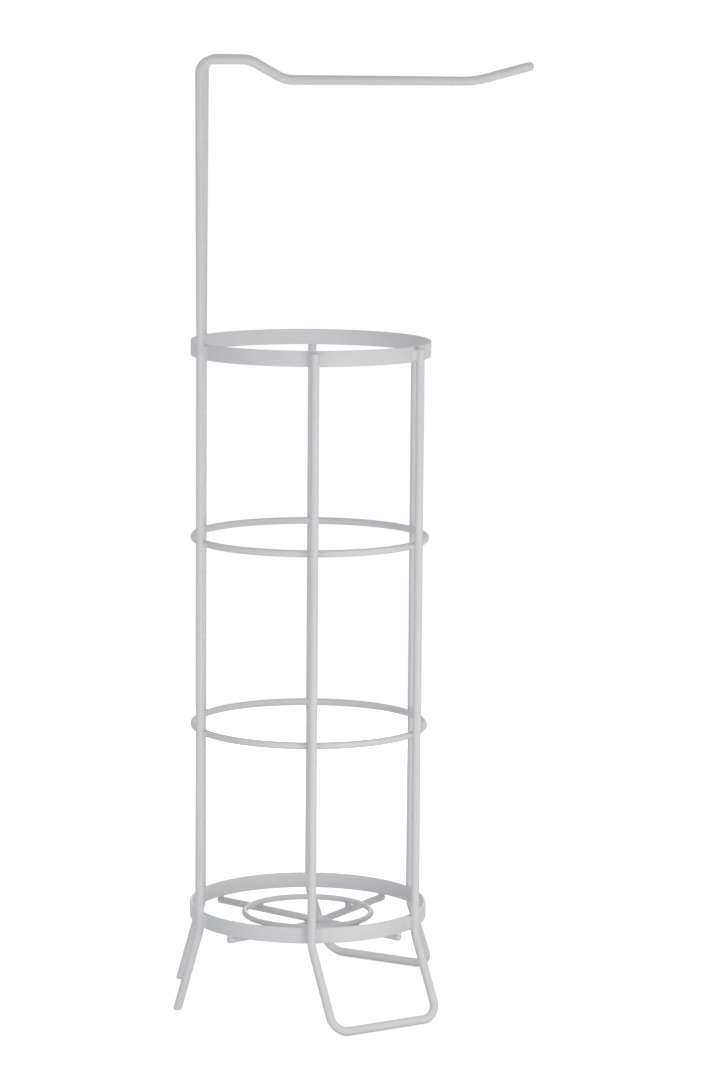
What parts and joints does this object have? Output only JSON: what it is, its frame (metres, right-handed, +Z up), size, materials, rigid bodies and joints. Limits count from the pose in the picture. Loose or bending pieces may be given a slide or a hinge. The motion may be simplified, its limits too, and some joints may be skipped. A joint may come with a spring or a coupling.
{
  "type": "toilet paper holder",
  "caption": "Free-standing welded wire stand with an open round cage for spare toilet rolls and a double-wire post that turns over it as an arm for the roll in use.",
  "frame": {"origin": "on the floor, under the middle of the stand's outline", "axes": "+X from the post along the arm to its tip, +Z up; the stand is mirrored about Y = 0 except for its two spokes"},
  "size_m": [0.2504, 0.2308, 0.674],
  "materials": {
    "powder_coat": "satin light grey powder coat"
  },
  "bodies": {
    "root": {"arm_hairpin": "powder_coat", "front_leg_frame": "powder_coat", "back_leg_frame": "powder_coat", "top_band": "powder_coat", "upper_ring": "powder_coat", "lower_ring": "powder_coat", "bottom_band": "powder_coat", "straight_spoke": "powder_coat", "cranked_spoke": "powder_coat", "base_ring": "powder_coat", "top_band_welds": "powder_coat", "upper_ring_welds": "powder_coat", "lower_ring_welds": "powder_coat", "bottom_band_welds": "powder_coat", "spoke_end_welds": "powder_coat", "base_ring_welds": "powder_coat", "spoke_cross_weld": "powder_coat"}
  },
  "joints": []
}
